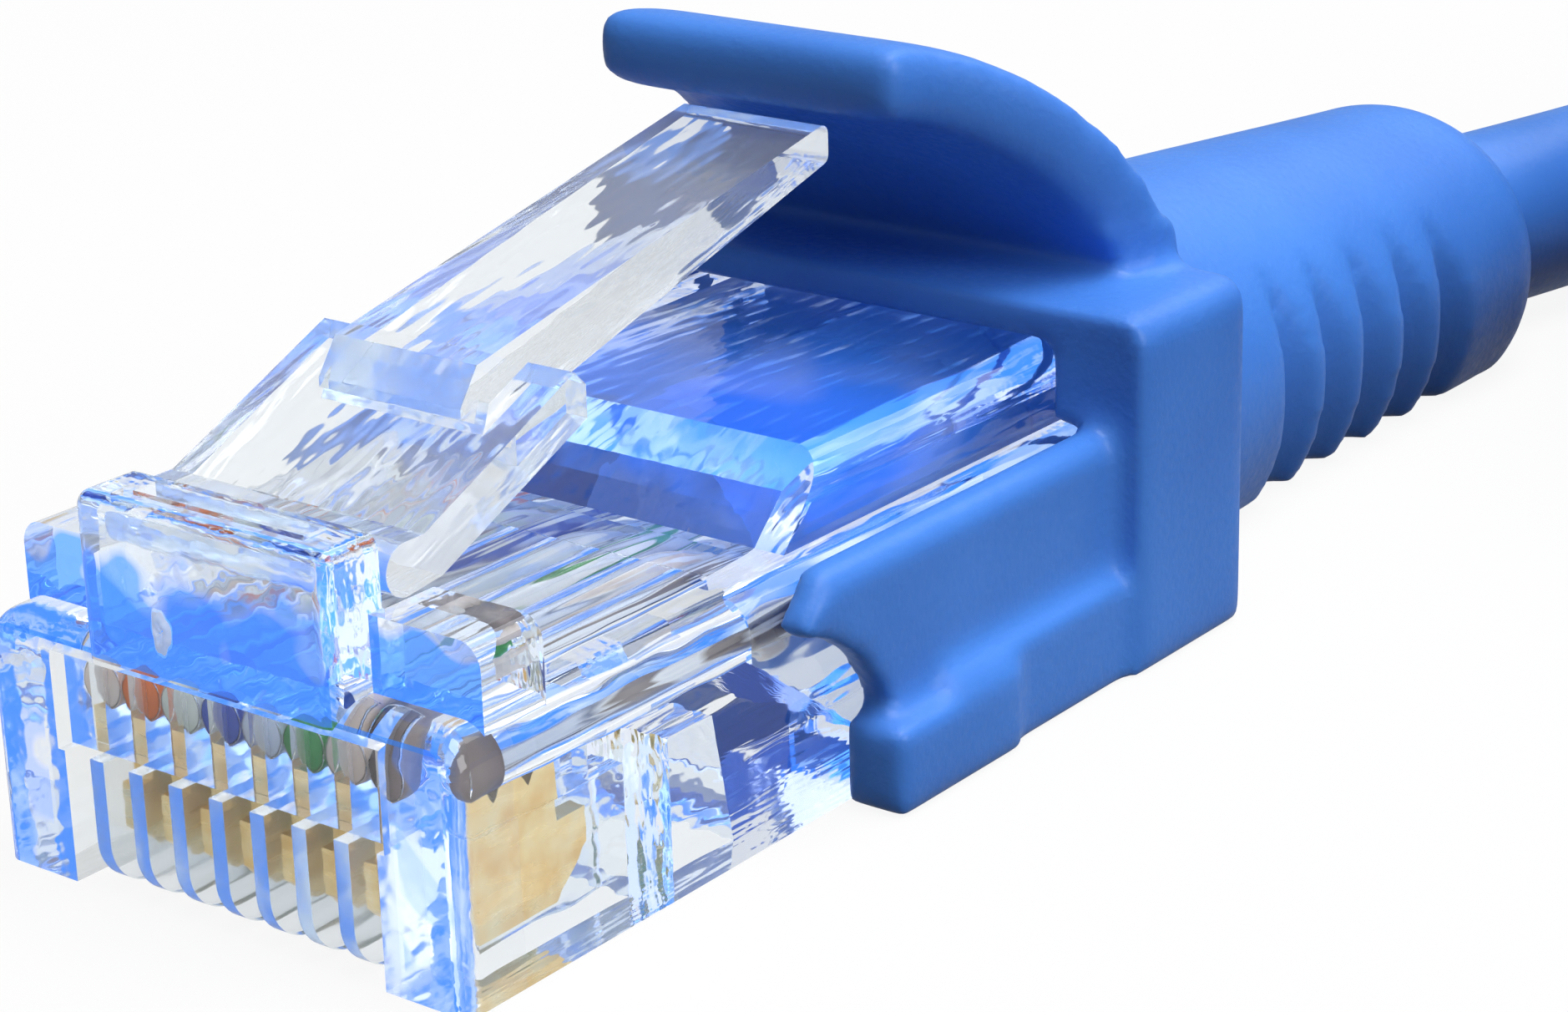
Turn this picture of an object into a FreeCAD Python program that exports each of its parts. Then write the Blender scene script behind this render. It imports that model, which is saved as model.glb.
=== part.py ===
import FreeCAD
import Part
import Sketcher
import math
import os

# An 8-contact modular plug (RJ45 style) with a snagless boot on a short patch cord.
# Millimetres. X runs across the contacts, +Y from the mating face back along the cable, +Z up,
# with the latch on top. Every piece is drawn from the mating face (Y = 0) and the underside (Z = 0),
# and then placed so that the origin is under the middle of the plug and its boot.

doc = FreeCAD.newDocument("modular_plug")
sizes = doc.addObject("Spreadsheet::Sheet", "Sizes")

DRIVING_SIZES = [
    # plug housing
    ("body_width", 11.68, "across the side walls"),
    ("body_length", 21.5, "mating face to the back of the housing"),
    ("deck_height", 5.1, "underside to the flat top"),
    ("deck_rounding", 0.7, "long upper edges"),
    ("corner_rounding", 0.35, "front upright edges"),
    ("wall", 0.6, "top and bottom walls round the cable"),
    ("nose_width", 6.2, "block that carries the latch"),
    ("nose_depth", 1.35, "block, front to back"),
    ("nose_height", 7.9, "underside to the top of the block"),
    ("nose_rounding", 0.3, "edges of the block"),
    ("nose_recess_width", 4.2, "mould recess across the top of the block"),
    ("nose_recess_depth", 0.35, "depth of that recess"),
    ("lug_front", 1.0, "mating face to the lugs"),
    ("lug_depth", 1.6, "lugs, front to back"),
    ("lug_height", 6.55, "underside to the top of the lugs"),
    ("lug_inset", 0.2, "side wall to the lug's outer face"),
    ("lug_rounding", 0.5, "outer upper edge of the lugs"),
    ("face_recess", 0.35, "face above the comb, in from the mating face"),
    ("face_recess_top", 4.6, "underside to the top of that recess"),
    ("hump_start", 10.2, "mating face to the raised back part"),
    ("hump_ramp", 1.4, "length of the slope up to it"),
    ("hump_width", 10.0, "raised back part"),
    ("hump_height", 6.8, "underside to its top"),
    # contacts, their comb and the wires
    ("contact_pitch", 1.02, "contact to contact"),
    ("contact_thickness", 0.32, "blade"),
    ("contact_front", 1.0, "mating face to the blade"),
    ("contact_length", 3.4, "blade, front to back"),
    ("contact_bottom", 0.55, "underside to the blade's lower edge"),
    ("contact_clearance", 0.02, "blade to its slit, each side"),
    ("tooth_bite", 0.3, "tooth tips above the wires' centres"),
    ("slot_width", 0.67, "comb slots"),
    ("slot_depth", 5.3, "comb slots, front to back"),
    ("slot_height", 2.65, "comb slots, upward"),
    ("rib_rounding", 1.0, "front lower corner of the comb ribs"),
    ("wire_diameter", 0.96, "over the insulation"),
    ("core_diameter", 0.5, "copper"),
    ("wire_height", 3.8, "underside to the wires' centres"),
    ("wire_front", 1.25, "mating face to the wires' cut ends"),
    ("wire_clearance", 0.02, "wires to their channels"),
    ("bay_end", 9.0, "mating face to the back of the channels"),
    ("tooth_pitch", 0.9, "tooth to tooth"),
    ("tooth_top", 0.3, "tip of a tooth, front to back"),
    ("tooth_flank", 0.1, "slope of a tooth, front to back"),
    ("tooth_valley", 0.25, "notch between two teeth below their roots"),
    ("tooth_first", 0.25, "blade's front to the first tooth"),
    ("blade_toe", 0.3, "bevel at the blade's lower front corner"),
    ("blade_notch", 0.3, "notch in the blade's front edge"),
    ("blade_notch_height", 0.9, "notch, upward"),
    ("blade_heel", 0.85, "bevel at the blade's lower back corner"),
    ("blade_shelf", 0.75, "step at the blade's back, front to back"),
    ("blade_shelf_height", 1.55, "blade's lower edge to that step"),
    ("clamp_pocket_wall", 1.2, "comb slots to the pocket under the wires, and its back slope"),
    ("window_gap", 0.4, "jacket's cut end to the window underneath"),
    ("window_length", 4.0, "window, front to back"),
    ("wedge_length", 3.4, "jacket clamp"),
    ("wedge_thickness", 0.5, "jacket clamp's front edge"),
    ("wedge_land", 1.0, "face of the clamp on the jacket"),
    ("wedge_margin", 0.3, "window's side walls to the clamp"),
    # cable and boot
    ("cable_diameter", 4.8, "over the jacket"),
    ("cable_height", 3.15, "underside to the cable's centre"),
    ("jacket_start", 13.2, "mating face to the jacket's cut end"),
    ("jacket_clearance", 0.1, "jacket to the plug and the boot"),
    ("boot_clearance", 0.05, "boot to the plug"),
    ("cheek_wall", 0.81, "side walls of the boot beside the plug"),
    ("collar_step", 0.65, "collar and ledges out past the cheeks, each side"),
    ("collar_length", 4.4, "collar, front to back"),
    ("collar_overhang", 2.1, "back of the housing to the collar's back"),
    ("collar_height", 7.7, "underside to the collar's top"),
    ("collar_rounding", 0.6, "collar edges"),
    ("cheek_front", 8.7, "mating face to the cheeks"),
    ("cheek_height", 5.3, "underside to the cheeks' top edge"),
    ("cheek_notch", 4.2, "underside to where the cheeks' hollow front edge starts"),
    ("cheek_curve", 3.6, "radius of that hollow edge"),
    ("cheek_rounding", 0.4, "upper edges of the cheeks and ledges"),
    ("ledge_front", 10.7, "mating face to the ledges"),
    ("ledge_length", 4.2, "front part of the ledges, which stands out more"),
    ("ledge_height", 1.8, "front part of the ledges"),
    ("ledge_rise", 0.4, "back part of the ledges above the front part"),
    ("ledge_setback", 0.25, "back part of the ledges in from the front part"),
    ("relief_length", 20.9, "strain relief behind the collar"),
    ("relief_radius", 5.0, "strain relief at the collar"),
    ("relief_centre", 2.75, "underside to the strain relief's centre at the collar"),
    ("relief_end_radius", 4.1, "strain relief before its rounded end"),
    ("relief_end_centre", 2.45, "underside to its centre there"),
    ("relief_nose", 3.0, "rounded end of the strain relief"),
    ("relief_tip_radius", 3.3, "strain relief at its very end"),
    ("relief_flare", 0.6, "flare of the strain relief where it meets the collar"),
    ("groove_count", 5, "grooves along the strain relief"),
    ("groove_pitch", 1.9, "groove to groove"),
    ("groove_width", 1.35, "grooves"),
    ("groove_depth", 0.75, "grooves at the sides, fading out above and below"),
    ("groove_fade", 0.6, "how gently the grooves fade out"),
    ("groove_start", 6.2, "collar to the first groove"),
    # latch
    ("latch_pivot_back", 2.0, "mating face to the latch's bending line"),
    ("latch_pivot_height", 7.05, "underside to the latch's bending line"),
    ("latch_root_radius", 0.5, "round root of the latch"),
    ("pivot_clearance", 0.06, "round roots to their seats"),
    ("latch_thickness", 0.95, "latch plate"),
    ("latch_plate_end", 6.95, "mating face to the latch shoulders"),
    ("latch_shoulder_height", 9.35, "underside to the top of the shoulders"),
    ("lever_width", 3.5, "lever"),
    ("lever_front", 5.3, "mating face to the front of the lever's block"),
    ("lever_front_height", 9.55, "underside to the top of the lever's block"),
    ("lever_end", 16.2, "mating face to the lever's tip"),
    ("lever_end_height", 11.75, "underside to the top of the tip"),
    ("lever_end_thickness", 0.8, "lever at its tip"),
    ("lever_block", 0.7, "lever's block, downward"),
    ("lever_gap", 0.25, "lever to the shoulders, each side"),
    ("lever_rounding", 0.2, "edges of the lever's tip"),
    ("latch_bevel", 0.3, "upper back edge of the shoulders"),
    # hood
    ("hood_reach", 7.0, "hood's bending line to its lip"),
    ("hood_front_width", 7.6, "lip"),
    ("hood_back_width", 11.2, "hood at its root"),
    ("hood_lip_rounding", 0.5, "edges of the lip"),
    ("hood_top", 13.6, "underside to the top of the lip"),
    ("hood_thickness", 1.6, "lip"),
    ("hood_pivot_inset", 1.1, "collar's back to the hood's bending line"),
    ("hood_pivot_height", 8.05, "underside to the hood's bending line"),
    ("hood_root_radius", 0.95, "round root of the hood"),
    ("hood_outer_radius", 9.6, "outer curve of the hood"),
    ("hood_inner_radius", 8.2, "inner curve of the hood"),
    # free cord
    ("coil_radius", 29, "centre line of the coiled turns"),
    ("coil_turns", 2, "turns on each other"),
]
for row, (alias, number, note) in enumerate(DRIVING_SIZES, start=1):
    sizes.set("A%d" % row, alias)
    sizes.set("B%d" % row, str(number))
    sizes.set("C%d" % row, note)
    sizes.setAlias("B%d" % row, alias)
doc.recompute()

LENGTH_OVER_BOOT = "(Sizes.body_length + Sizes.collar_overhang + Sizes.relief_length)"
COLLAR_FRONT = "(Sizes.body_length + Sizes.collar_overhang - Sizes.collar_length)"
HOOD_PIVOT_BACK = "(Sizes.body_length + Sizes.collar_overhang - Sizes.hood_pivot_inset)"
HOOD_FRONT = "(Sizes.body_length + Sizes.collar_overhang - Sizes.hood_pivot_inset - Sizes.hood_reach)"
CHEEK_WIDTH = "(Sizes.body_width + 2 * Sizes.cheek_wall)"
COLLAR_WIDTH = "(Sizes.body_width + 2 * Sizes.cheek_wall + 2 * Sizes.collar_step)"
CONTACTS = 8


def size(alias):
    return float(sizes.get(alias))


def new_body(label):
    body = doc.addObject("PartDesign::Body", label)
    body.Label = label
    body.setExpression("Placement.Base.y", "-%s / 2" % LENGTH_OVER_BOOT)
    return body


def origin_plane(body, role):
    return [item for item in body.Origin.OriginFeatures if item.Role == role][0]


def arc_between(start, end, radius, turn):
    """An arc from start to end; turn is 1 where its centre lies on the left and -1 on the right."""
    chord = end.sub(start)
    height = math.sqrt(max(radius ** 2 - (chord.Length / 2) ** 2, 0.0))
    left = FreeCAD.Vector(-chord.y, chord.x, 0).normalize()
    centre = start.add(chord.multiply(0.5)).add(left.multiply(turn * height))
    first, last = (start, end) if turn > 0 else (end, start)
    first_angle = math.atan2(first.y - centre.y, first.x - centre.x)
    last_angle = math.atan2(last.y - centre.y, last.x - centre.x)
    circle = Part.Circle(centre, FreeCAD.Vector(0, 0, 1), radius)
    return Part.ArcOfCircle(circle, first_angle, last_angle)


def outline(body, name, role, corners, offset=None):
    """A closed sketch. A corner is (across, up), or (across, up, radius, turn) where an arc leaves it."""
    sketch = body.newObject("Sketcher::SketchObject", name)
    sketch.AttachmentSupport = (origin_plane(body, role), [""])
    sketch.MapMode = "FlatFace"
    if offset:
        sketch.setExpression("AttachmentOffset.Base.z", offset)
    places = []
    for corner in corners:
        across = float(sketch.evalExpression(corner[0]))
        up = float(sketch.evalExpression(corner[1]))
        places.append(FreeCAD.Vector(across, up, 0))
    starts = []
    for index, corner in enumerate(corners):
        start = places[index]
        end = places[(index + 1) % len(corners)]
        if len(corner) == 4:
            radius = float(sketch.evalExpression(corner[2]))
            sketch.addGeometry(arc_between(start, end, radius, corner[3]), False)
            starts.append(1 if corner[3] > 0 else 2)
        else:
            sketch.addGeometry(Part.LineSegment(start, end), False)
            starts.append(1)
    for index in range(len(corners)):
        following = (index + 1) % len(corners)
        joint = Sketcher.Constraint("Coincident", index, 3 - starts[index], following, starts[following])
        sketch.addConstraint(joint)
    for index, corner in enumerate(corners):
        place = places[index]
        across = sketch.addConstraint(
            Sketcher.Constraint("DistanceX", -1, 1, index, starts[index], place.x))
        sketch.setExpression("Constraints[%d]" % across, corner[0])
        up = sketch.addConstraint(
            Sketcher.Constraint("DistanceY", -1, 1, index, starts[index], place.y))
        sketch.setExpression("Constraints[%d]" % up, corner[1])
        if len(corner) == 4:
            radius = float(sketch.evalExpression(corner[2]))
            rounding = sketch.addConstraint(Sketcher.Constraint("Radius", index, radius))
            sketch.setExpression("Constraints[%d]" % rounding, corner[2])
    return sketch


def circle_sketch(body, name, role, across, up, radius, offset=None):
    sketch = body.newObject("Sketcher::SketchObject", name)
    sketch.AttachmentSupport = (origin_plane(body, role), [""])
    sketch.MapMode = "FlatFace"
    if offset:
        sketch.setExpression("AttachmentOffset.Base.z", offset)
    centre = FreeCAD.Vector(
        float(sketch.evalExpression(across)), float(sketch.evalExpression(up)), 0)
    start_radius = float(sketch.evalExpression(radius))
    sketch.addGeometry(Part.Circle(centre, FreeCAD.Vector(0, 0, 1), start_radius), False)
    constraints = (
        (Sketcher.Constraint("DistanceX", -1, 1, 0, 3, centre.x), across),
        (Sketcher.Constraint("DistanceY", -1, 1, 0, 3, centre.y), up),
        (Sketcher.Constraint("Radius", 0, start_radius), radius),
    )
    for constraint, expression in constraints:
        number = sketch.addConstraint(constraint)
        sketch.setExpression("Constraints[%d]" % number, expression)
    return sketch


def rectangle(left, right, low, high):
    return [(left, low), (right, low), (right, high), (left, high)]


def feature(body, kind, name, sketch, length, middle=False, turned=False):
    """A Pad or Pocket. middle spreads it to both sides of its sketch, turned sends it the other way."""
    made = body.newObject("PartDesign::" + kind, name)
    made.Profile = sketch
    made.setExpression("Length", length)
    made.Midplane = middle
    made.Reversed = turned
    return made


def along_x(edge):
    direction = edge.Vertexes[-1].Point.sub(edge.Vertexes[0].Point)
    return len(edge.Vertexes) == 2 and abs(direction.x) > 0.999 * edge.Length


def along_y(edge):
    direction = edge.Vertexes[-1].Point.sub(edge.Vertexes[0].Point)
    return len(edge.Vertexes) == 2 and abs(direction.y) > 0.999 * edge.Length


def along_z(edge):
    direction = edge.Vertexes[-1].Point.sub(edge.Vertexes[0].Point)
    return len(edge.Vertexes) == 2 and abs(direction.z) > 0.999 * edge.Length


def near(number, other):
    return abs(number - other) < 0.02


def rounded(body, name, base, radius, wanted):
    """Rounds the edges of base that wanted(edge, its middle) names."""
    doc.recompute()
    edges = []
    for number, edge in enumerate(base.Shape.Edges, start=1):
        if wanted(edge, edge.CenterOfMass):
            edges.append("Edge%d" % number)
    made = body.newObject("PartDesign::Fillet", name)
    made.Base = (base, edges)
    made.setExpression("Radius", radius)
    return made


def row_of_contacts(body, name, originals):
    """Repeats features made for the first contact along X, once for each contact."""
    pattern = body.newObject("PartDesign::LinearPattern", name)
    pattern.Originals = originals
    pattern.Direction = (origin_plane(body, "X_Axis"), [""])
    pattern.Occurrences = CONTACTS
    pattern.setExpression("Length", "%d * Sizes.contact_pitch" % (CONTACTS - 1))
    body.Tip = pattern
    return pattern


FIRST_CONTACT = "(-%g * Sizes.contact_pitch)" % ((CONTACTS - 1) / 2)
HALF_BODY = "Sizes.body_width / 2"
HALF_NOSE = "Sizes.nose_width / 2"


def make_plug_housing():
    body = new_body("plug_housing")
    block_sketch = outline(body, "block_outline", "XZ_Plane", rectangle(
        "-" + HALF_BODY, HALF_BODY, "0", "Sizes.deck_height"))
    block = feature(body, "Pad", "block", block_sketch, "Sizes.body_length", turned=True)
    uprights = rounded(body, "front_corners", block, "Sizes.corner_rounding",
                       lambda edge, middle: along_z(edge) and near(middle.y, 0))
    deck_edges = rounded(body, "deck_edges", uprights, "Sizes.deck_rounding",
                         lambda edge, middle: along_y(edge) and near(middle.z, size("deck_height")))

    hump_sketch = outline(body, "hump_outline", "YZ_Plane", [
        ("Sizes.hump_start", "Sizes.deck_height - Sizes.wall"),
        ("Sizes.body_length", "Sizes.deck_height - Sizes.wall"),
        ("Sizes.body_length", "Sizes.hump_height"),
        ("Sizes.hump_start + Sizes.hump_ramp", "Sizes.hump_height"),
        ("Sizes.hump_start", "Sizes.deck_height")])
    hump = feature(body, "Pad", "hump", hump_sketch, "Sizes.hump_width", middle=True)
    hump_edges = rounded(
        body, "hump_edges", hump, "Sizes.deck_rounding",
        lambda edge, middle: along_y(edge) and near(middle.z, size("hump_height")))

    nose_sketch = outline(body, "nose_outline", "YZ_Plane", rectangle(
        "0", "Sizes.nose_depth", "Sizes.deck_height - Sizes.wall", "Sizes.nose_height"))
    nose = feature(body, "Pad", "nose", nose_sketch, "Sizes.nose_width", middle=True)
    nose_edges = rounded(
        body, "nose_edges", nose, "Sizes.nose_rounding",
        lambda edge, middle: (along_z(edge) and near(middle.y, 0)
                              and near(abs(middle.x), size("nose_width") / 2))
        or (middle.z > size("nose_height") - 0.01 and middle.y < size("nose_depth") - 0.01))
    recess_sketch = outline(body, "nose_recess_outline", "YZ_Plane", rectangle(
        "Sizes.nose_depth * 0.45", "Sizes.nose_depth * 0.85",
        "Sizes.nose_height - Sizes.nose_recess_depth", "Sizes.nose_height + Sizes.wall"))
    recess = feature(body, "Pocket", "nose_recess", recess_sketch, "Sizes.nose_recess_width",
                     middle=True)

    lug_sketch = outline(
        body, "lug_outline", "YZ_Plane", rectangle(
            "Sizes.lug_front", "Sizes.lug_front + Sizes.lug_depth",
            "Sizes.deck_height - Sizes.deck_rounding - Sizes.corner_rounding", "Sizes.lug_height"))
    lugs = feature(body, "Pad", "lugs", lug_sketch, "Sizes.body_width - 2 * Sizes.lug_inset",
                   middle=True)
    lug_edges = rounded(
        body, "lug_edges", lugs, "Sizes.lug_rounding",
        lambda edge, middle: along_y(edge) and near(middle.z, size("lug_height"))
        and near(abs(middle.x), size("body_width") / 2 - size("lug_inset")))
    # The latch's round root sits in a hollow across the back of the nose, and the lugs stop beside it.
    under_latch_sketch = outline(body, "under_latch_outline", "YZ_Plane", rectangle(
        "Sizes.nose_depth", "Sizes.lug_front + Sizes.lug_depth + Sizes.wall",
        "Sizes.deck_height", "Sizes.nose_height + Sizes.wall"))
    under_latch = feature(body, "Pocket", "under_latch", under_latch_sketch,
                          "Sizes.nose_width + 2 * Sizes.pivot_clearance", middle=True)
    seat_sketch = circle_sketch(
        body, "latch_seat_outline", "YZ_Plane", "Sizes.latch_pivot_back",
        "Sizes.latch_pivot_height", "Sizes.latch_root_radius + Sizes.pivot_clearance")
    seat = feature(body, "Pocket", "latch_seat", seat_sketch, "Sizes.nose_width", middle=True)

    face_sketch = outline(body, "face_recess_outline", "YZ_Plane", rectangle(
        "-Sizes.wall", "Sizes.face_recess", "Sizes.slot_height", "Sizes.face_recess_top"))
    feature(body, "Pocket", "face_recess", face_sketch, "%d * Sizes.contact_pitch" % CONTACTS,
            middle=True)

    slot_sketch = outline(body, "slot_outline", "YZ_Plane", rectangle(
        "-Sizes.wall", "Sizes.slot_depth", "-Sizes.wall", "Sizes.slot_height"), FIRST_CONTACT)
    slot = feature(body, "Pocket", "slot", slot_sketch, "Sizes.slot_width", middle=True)
    slit_sketch = outline(
        body, "slit_outline", "YZ_Plane", rectangle(
            "Sizes.contact_front - Sizes.contact_clearance",
            "Sizes.contact_front + Sizes.contact_length + Sizes.contact_clearance",
            "Sizes.slot_height - 0.1",
            "Sizes.wire_height + Sizes.wire_diameter / 2 - Sizes.wire_clearance"), FIRST_CONTACT)
    slit = feature(body, "Pocket", "slit", slit_sketch,
                   "Sizes.contact_thickness + 2 * Sizes.contact_clearance", middle=True)
    channel_sketch = circle_sketch(
        body, "channel_outline", "XZ_Plane", FIRST_CONTACT, "Sizes.wire_height",
        "Sizes.wire_diameter / 2 + Sizes.wire_clearance", "-Sizes.wire_front")
    channel = feature(body, "Pocket", "channel", channel_sketch,
                      "Sizes.bay_end - Sizes.wire_front + 0.1")
    doc.recompute()
    contact_row = row_of_contacts(body, "contact_row", [slot, slit, channel])
    bay_sketch = outline(
        body, "bay_outline", "YZ_Plane", rectangle(
            "Sizes.wire_front + Sizes.wall", "Sizes.bay_end + 0.1", "Sizes.wire_height - 0.1",
            "Sizes.wire_height + Sizes.wire_diameter / 2 - 0.1"))
    bay = feature(body, "Pocket", "wire_bay", bay_sketch,
                  "%d * Sizes.contact_pitch" % (CONTACTS - 1), middle=True)

    cavity_sketch = outline(body, "cavity_outline", "YZ_Plane", [
        ("Sizes.bay_end", "Sizes.wire_height - Sizes.wire_diameter / 2"),
        ("Sizes.jacket_start - Sizes.wall",
         "Sizes.cable_height - Sizes.cable_diameter / 2 - Sizes.jacket_clearance"),
        ("Sizes.body_length + 1",
         "Sizes.cable_height - Sizes.cable_diameter / 2 - Sizes.jacket_clearance"),
        ("Sizes.body_length + 1",
         "Sizes.cable_height + Sizes.cable_diameter / 2 + Sizes.jacket_clearance"),
        ("Sizes.hump_start + Sizes.hump_ramp",
         "Sizes.cable_height + Sizes.cable_diameter / 2 + Sizes.jacket_clearance"),
        ("Sizes.hump_start", "Sizes.deck_height - Sizes.wall"),
        ("Sizes.bay_end", "Sizes.wire_height + Sizes.wire_diameter / 2 + Sizes.wire_clearance")])
    cavity = feature(
        body, "Pocket", "cavity", cavity_sketch,
        "%d * Sizes.contact_pitch + 1.1 * Sizes.wire_diameter" % (CONTACTS - 1), middle=True)

    # Underside: the pocket of the wire clamp and the window of the jacket clamp with its wedge.
    wire_pocket_sketch = outline(body, "wire_pocket_outline", "YZ_Plane", [
        ("Sizes.slot_depth + Sizes.clamp_pocket_wall", "-Sizes.wall"),
        ("Sizes.bay_end - Sizes.wall", "-Sizes.wall"),
        ("Sizes.bay_end - Sizes.clamp_pocket_wall",
         "Sizes.wire_height - Sizes.wire_diameter / 2 - Sizes.wall"),
        ("Sizes.slot_depth + Sizes.clamp_pocket_wall",
         "Sizes.wire_height - Sizes.wire_diameter / 2 - Sizes.wall")])
    wire_pocket = feature(body, "Pocket", "wire_pocket", wire_pocket_sketch,
                          "Sizes.body_width - 6 * Sizes.wall", middle=True)
    window_sketch = outline(body, "window_outline", "XY_Plane", rectangle(
        "-Sizes.cable_diameter / 2", "Sizes.cable_diameter / 2",
        "Sizes.jacket_start + Sizes.window_gap",
        "Sizes.jacket_start + Sizes.window_gap + Sizes.window_length"))
    window = feature(body, "Pocket", "jacket_window", window_sketch,
                     "2 * (Sizes.cable_height - Sizes.cable_diameter / 2)", middle=True)
    wedge_front = "Sizes.jacket_start + Sizes.window_gap / 2"
    jacket_under = "Sizes.cable_height - Sizes.cable_diameter / 2"
    wedge_sketch = outline(body, "wedge_outline", "YZ_Plane", [
        (wedge_front, "Sizes.wedge_thickness / 2"),
        (wedge_front + " + Sizes.wedge_length", "Sizes.wedge_thickness"),
        (wedge_front + " + Sizes.wedge_length", jacket_under),
        (wedge_front + " + Sizes.wedge_length - Sizes.wedge_land", jacket_under),
        (wedge_front, "1.5 * Sizes.wedge_thickness")])
    wedge = feature(body, "Pad", "jacket_wedge", wedge_sketch,
                    "Sizes.cable_diameter - 2 * Sizes.wedge_margin", middle=True)
    ribs = rounded(
        body, "rib_corners", wedge, "Sizes.rib_rounding",
        lambda edge, middle: along_x(edge) and near(middle.y, 0) and near(middle.z, 0)
        and edge.Length < size("contact_pitch"))
    body.Tip = ribs
    return body


def make_contact(number):
    """A blade of sheet copper alloy, gold plated, with three teeth that go up through the wire."""
    body = new_body("contact_%d" % number)
    tooth_tip = "Sizes.wire_height + Sizes.tooth_bite"
    tooth_root = "Sizes.wire_height - Sizes.wire_diameter / 2 + Sizes.tooth_flank / 2"
    start = "Sizes.contact_front"
    back = start + " + Sizes.contact_length"
    shelf = "Sizes.contact_bottom + Sizes.blade_shelf_height"
    profile = [
        (start, "Sizes.contact_bottom + Sizes.blade_toe"),
        (start + " + Sizes.blade_toe", "Sizes.contact_bottom"),
        (back + " - Sizes.blade_heel", "Sizes.contact_bottom"),
        (back, "Sizes.contact_bottom + Sizes.blade_heel"),
        (back, shelf),
        (back + " - Sizes.blade_shelf", shelf)]
    for tooth in (2, 1, 0):
        front = start + " + Sizes.tooth_first + %d * Sizes.tooth_pitch" % tooth
        profile += [
            (front + " + Sizes.tooth_top + 2 * Sizes.tooth_flank", tooth_root),
            (front + " + Sizes.tooth_top + Sizes.tooth_flank", tooth_tip),
            (front + " + Sizes.tooth_flank", tooth_tip),
            (front, tooth_root)]
        if tooth:
            profile.append((front + " - 2 * Sizes.tooth_flank", tooth_root + " - Sizes.tooth_valley"))
    profile += [
        (start, tooth_root),
        (start, "Sizes.slot_height"),
        (start + " + Sizes.blade_notch", "Sizes.slot_height"),
        (start + " + Sizes.blade_notch", "Sizes.slot_height - Sizes.blade_notch_height"),
        (start, "Sizes.slot_height - Sizes.blade_notch_height")]
    across = "(%g * Sizes.contact_pitch)" % (number - (CONTACTS + 1) / 2)
    sketch = outline(body, "contact_outline_%d" % number, "YZ_Plane", profile, across)
    feature(body, "Pad", "blade_%d" % number, sketch, "Sizes.contact_thickness", middle=True)
    return body


def make_latch():
    """The latch: a plate with two shoulders, and the narrower lever that a thumb or the hood presses."""
    body = new_body("latch_tab")
    root_sketch = circle_sketch(body, "latch_root_outline", "YZ_Plane", "Sizes.latch_pivot_back",
                                "Sizes.latch_pivot_height", "Sizes.latch_root_radius")
    feature(body, "Pad", "latch_root", root_sketch, "Sizes.nose_width", middle=True)
    plate_sketch = outline(body, "plate_outline", "YZ_Plane", [
        ("Sizes.latch_pivot_back", "Sizes.latch_pivot_height - Sizes.latch_root_radius"),
        ("Sizes.latch_pivot_back + 1.8 * Sizes.latch_root_radius",
         "Sizes.latch_pivot_height - 0.8 * Sizes.latch_root_radius"),
        ("Sizes.latch_plate_end", "Sizes.latch_shoulder_height - Sizes.latch_thickness"),
        ("Sizes.latch_plate_end", "Sizes.latch_shoulder_height - Sizes.latch_bevel"),
        ("Sizes.latch_plate_end - Sizes.latch_bevel", "Sizes.latch_shoulder_height"),
        ("Sizes.latch_pivot_back + Sizes.latch_root_radius",
         "Sizes.latch_pivot_height + Sizes.latch_root_radius"),
        ("Sizes.latch_pivot_back", "Sizes.latch_pivot_height + Sizes.latch_root_radius")])
    plate = feature(body, "Pad", "plate", plate_sketch, "Sizes.nose_width", middle=True)
    notch_sketch = outline(body, "shoulder_notch_outline", "XY_Plane", rectangle(
        "-Sizes.lever_width / 2 - Sizes.lever_gap", "Sizes.lever_width / 2 + Sizes.lever_gap",
        "Sizes.lever_front + Sizes.lever_gap", "Sizes.latch_plate_end + Sizes.latch_thickness"),
        "Sizes.lever_end_height")
    feature(body, "Pocket", "shoulder_notch", notch_sketch, "Sizes.lever_end_height")
    lever_sketch = outline(body, "lever_outline", "YZ_Plane", [
        ("Sizes.lever_front - Sizes.lever_gap", "Sizes.lever_front_height - 2.2 * Sizes.lever_block"),
        ("Sizes.latch_plate_end", "Sizes.latch_shoulder_height - Sizes.latch_thickness"),
        ("Sizes.lever_end", "Sizes.lever_end_height - Sizes.lever_end_thickness"),
        ("Sizes.lever_end", "Sizes.lever_end_height"),
        ("Sizes.lever_front + Sizes.lever_gap", "Sizes.lever_front_height"),
        ("Sizes.lever_front - Sizes.lever_gap", "Sizes.lever_front_height - Sizes.lever_block")])
    lever = feature(body, "Pad", "lever", lever_sketch, "Sizes.lever_width", middle=True)
    tip = rounded(body, "lever_tip", lever, "Sizes.lever_rounding",
                  lambda edge, middle: along_x(edge) and near(middle.y, size("lever_end")))
    body.Tip = tip
    return body


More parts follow.
